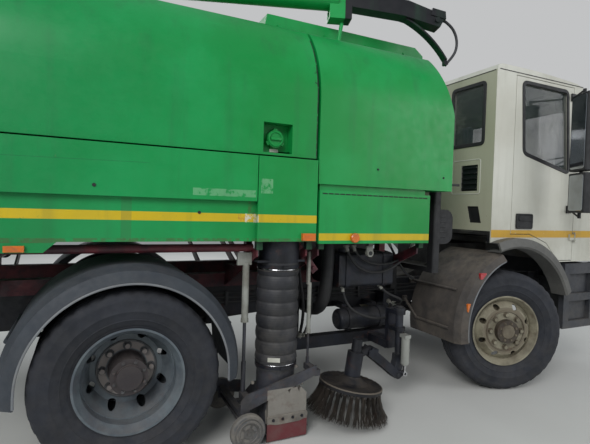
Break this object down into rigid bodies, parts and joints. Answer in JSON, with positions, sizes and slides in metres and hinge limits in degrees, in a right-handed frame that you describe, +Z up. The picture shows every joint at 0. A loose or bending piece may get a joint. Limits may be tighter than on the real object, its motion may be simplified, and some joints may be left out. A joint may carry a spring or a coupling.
{
  "type": "street sweeper truck",
  "caption": "Two-axle street sweeper truck with tipping hopper, suction nozzle, side brush, roof hose boom and tilting cab.",
  "frame": {"origin": "on the ground at mid-length on the centre line", "axes": "+X forward, +Y to the driver's left, +Z up"},
  "size_m": [6.132, 2.8388, 3.118],
  "materials": {
    "green_paint": "worn gloss paint",
    "cab_white": "worn gloss paint",
    "chassis_paint": "dirty satin",
    "red_oxide": "dirty matt primer",
    "dark_steel": "dirty satin",
    "engine_iron": "oily cast",
    "nozzle_steel": "scuffed",
    "bristle_steel": "dull wire",
    "cylinder_grey": "dusty paint",
    "chrome": "bright rod",
    "wheel_grey": "dusty paint",
    "wheel_beige": "dusty paint",
    "tyre": "dusty rubber",
    "hose_rubber": "ribbed rubber",
    "solid_rubber": "worn",
    "black_plastic": "grained",
    "bumper_plastic": "faded",
    "guard_plastic": "faded, dusty",
    "flare_plastic": "faded",
    "lamp_lens": "clear moulded",
    "seat_fabric": "woven",
    "glass": "lightly tinted"
  },
  "bodies": {
    "chassis": {"frame_rails": "chassis_paint", "subframe": "red_oxide", "outriggers": "red_oxide", "tipping_pivot": "red_oxide", "front_axle": "chassis_paint", "rear_axle": "chassis_paint", "leaf_springs": "chassis_paint", "driveline": "engine_iron", "sweeper_engine": "engine_iron", "tanks": "dark_steel", "air_intake": "black_plastic", "front_bumper": "bumper_plastic", "lamps": "lamp_lens", "front_mudguards": "guard_plastic", "rear_mudguards": "guard_plastic", "module_shell": "green_paint", "side_panels": "green_paint", "suction_hose": "hose_rubber", "tool_frame": "dark_steel", "lift_cylinders": "cylinder_grey"},
    "knuckle_right": {"knuckle_right": "chassis_paint"},
    "knuckle_left": {"knuckle_left": "chassis_paint"},
    "front_wheel_right": {"front_wheel_right": "wheel_beige", "front_tyre_right": "tyre"},
    "front_wheel_left": {"front_wheel_left": "wheel_beige", "front_tyre_left": "tyre"},
    "rear_wheels_right": {"rear_wheels_right": "wheel_grey", "rear_tyres_right": "tyre"},
    "rear_wheels_left": {"rear_wheels_left": "wheel_grey", "rear_tyres_left": "tyre"},
    "cab": {"cab_shell": "cab_white", "arch_flares": "flare_plastic", "cab_glass": "glass", "cab_interior": "black_plastic", "seats": "seat_fabric"},
    "door_right": {"door_right": "cab_white", "door_glass_right": "glass", "mirror_right": "black_plastic"},
    "door_left": {"door_left": "cab_white", "door_glass_left": "glass", "mirror_left": "black_plastic"},
    "hopper": {"hopper_shell": "green_paint", "hopper_lugs": "dark_steel", "roof_duct": "green_paint"},
    "rear_door": {"rear_door": "green_paint"},
    "ram_barrels": {"ram_barrels": "dark_steel"},
    "ram_rods": {"ram_rods": "chrome"},
    "boom_column": {"boom_column": "green_paint"},
    "boom": {"boom": "green_paint", "hose_loop": "hose_rubber"},
    "luff_barrel": {"luff_barrel": "dark_steel"},
    "luff_rod": {"luff_rod": "chrome"},
    "nozzle": {"nozzle": "nozzle_steel"},
    "nozzle_wheels": {"nozzle_wheels": "solid_rubber"},
    "brush_pivot": {"brush_pivot": "dark_steel"},
    "brush_arm": {"brush_arm": "dark_steel"},
    "brush_ram": {"brush_ram": "chrome"},
    "side_brush": {"side_brush": "bristle_steel"},
    "side_flap_right": {"side_flap_right": "green_paint"},
    "side_flap_left": {"side_flap_left": "green_paint"}
  },
  "joints": [
    {"name": "steer_right", "type": "hinge", "parent": "chassis", "child": "knuckle_right", "pos_m": [1.751, -0.83, 0.505], "axis": [0, 0, 1], "range_deg": [-16, 54]},
    {"name": "steer_left", "type": "hinge", "parent": "chassis", "child": "knuckle_left", "pos_m": [1.751, 0.83, 0.505], "axis": [0, 0, 1], "range_deg": [-16, 54]},
    {"name": "front_wheel_right_spin", "type": "hinge", "parent": "knuckle_right", "child": "front_wheel_right", "pos_m": [1.68719, -1.01532, 0.505], "axis": [0.3256, 0.9455, 0], "continuous": true},
    {"name": "front_wheel_left_spin", "type": "hinge", "parent": "knuckle_left", "child": "front_wheel_left", "pos_m": [1.81481, 1.01532, 0.505], "axis": [0.3256, 0.9455, 0], "continuous": true},
    {"name": "rear_wheels_right_spin", "type": "hinge", "parent": "chassis", "child": "rear_wheels_right", "pos_m": [-1.354, -0.897, 0.505], "axis": [0, 1, 0], "continuous": true},
    {"name": "rear_wheels_left_spin", "type": "hinge", "parent": "chassis", "child": "rear_wheels_left", "pos_m": [-1.354, 0.897, 0.505], "axis": [0, 1, 0], "continuous": true},
    {"name": "cab_tilt", "type": "hinge", "parent": "chassis", "child": "cab", "pos_m": [2.976, 0, 0.965], "axis": [0, 1, 0], "range_deg": [0, 50]},
    {"name": "door_right_open", "type": "hinge", "parent": "cab", "child": "door_right", "pos_m": [2.596, -1.066, 1.525], "axis": [0, 0, 1], "range_deg": [0, 70]},
    {"name": "door_left_open", "type": "hinge", "parent": "cab", "child": "door_left", "pos_m": [2.596, 1.066, 1.525], "axis": [0, 0, -1], "range_deg": [0, 70]},
    {"name": "hopper_tip", "type": "hinge", "parent": "chassis", "child": "hopper", "pos_m": [-2.904, 0, 1.215], "axis": [0, -1, 0], "range_deg": [0, 45]},
    {"name": "rear_door_open", "type": "hinge", "parent": "hopper", "child": "rear_door", "pos_m": [-3.044, 0, 2.628], "axis": [0, 1, 0], "range_deg": [0, 80]},
    {"name": "ram_swing", "type": "hinge", "parent": "chassis", "child": "ram_barrels", "pos_m": [-2.22785, 0, 1.03383], "axis": [0, -1, 0], "range_deg": [0, 22.51]},
    {"name": "ram_extend", "type": "slide", "parent": "ram_barrels", "child": "ram_rods", "axis": [-0.1736, 0, 0.9848], "range_m": [0, 0.44062]},
    {"name": "boom_slew", "type": "hinge", "parent": "hopper", "child": "boom_column", "pos_m": [-2.454, 0, 2.7], "axis": [0, 0, 1], "range_deg": [-150, 0]},
    {"name": "boom_lift", "type": "hinge", "parent": "boom_column", "child": "boom", "pos_m": [-2.454, 0, 2.96], "axis": [-0.3289, -0.9444, 0], "range_deg": [0, 35]},
    {"name": "luff_swing", "type": "hinge", "parent": "boom_column", "child": "luff_barrel", "pos_m": [-2.40023, -0.01873, 2.7475], "axis": [-0.3289, -0.9444, 0], "range_deg": [0, 17.51]},
    {"name": "luff_extend", "type": "slide", "parent": "luff_barrel", "child": "luff_rod", "axis": [0.6678, -0.2325, 0.7071], "range_m": [0, 0.1045]},
    {"name": "nozzle_lift", "type": "slide", "parent": "chassis", "child": "nozzle", "axis": [0, 0, 1], "range_m": [0, 0.15], "deforming": ["suction_hose"]},
    {"name": "nozzle_wheels_spin", "type": "hinge", "parent": "nozzle", "child": "nozzle_wheels", "pos_m": [-0.676, -0.875, 0.116], "axis": [0, 1, 0], "continuous": true},
    {"name": "brush_swing", "type": "hinge", "parent": "chassis", "child": "brush_pivot", "pos_m": [0.646, -0.95, 0.6], "axis": [0, 0, 1], "range_deg": [-10, 20]},
    {"name": "brush_lift", "type": "hinge", "parent": "brush_pivot", "child": "brush_arm", "pos_m": [0.611, -0.95, 0.23], "axis": [0, 1, 0], "range_deg": [0, 13]},
    {"name": "brush_ram_extend", "type": "slide", "parent": "brush_pivot", "child": "brush_ram", "axis": [0, 0, -1], "range_m": [0, 0.01022]},
    {"name": "side_brush_spin", "type": "hinge", "parent": "brush_arm", "child": "side_brush", "pos_m": [0.102, -1.07, 0.05971], "axis": [0.1564, 0, 0.9877], "continuous": true},
    {"name": "side_flap_right_open", "type": "hinge", "parent": "chassis", "child": "side_flap_right", "pos_m": [-1.321, -1.1725, 1.793], "axis": [-1, 0, 0], "range_deg": [0, 85]},
    {"name": "side_flap_left_open", "type": "hinge", "parent": "chassis", "child": "side_flap_left", "pos_m": [-1.321, 1.1725, 1.793], "axis": [1, 0, 0], "range_deg": [0, 85]}
  ],
  "couplings": [
    {"joint": "steer_left", "follows": "steer_right", "ratio": 1},
    {"joint": "ram_swing", "follows": "hopper_tip", "ratio": 0.5},
    {"joint": "ram_extend", "follows": "hopper_tip", "m_per_rad": 0.56089},
    {"joint": "luff_swing", "follows": "boom_lift", "ratio": 0.5},
    {"joint": "luff_extend", "follows": "boom_lift", "m_per_rad": 0.17091},
    {"joint": "brush_ram_extend", "follows": "brush_lift", "m_per_rad": 0.044615}
  ]
}
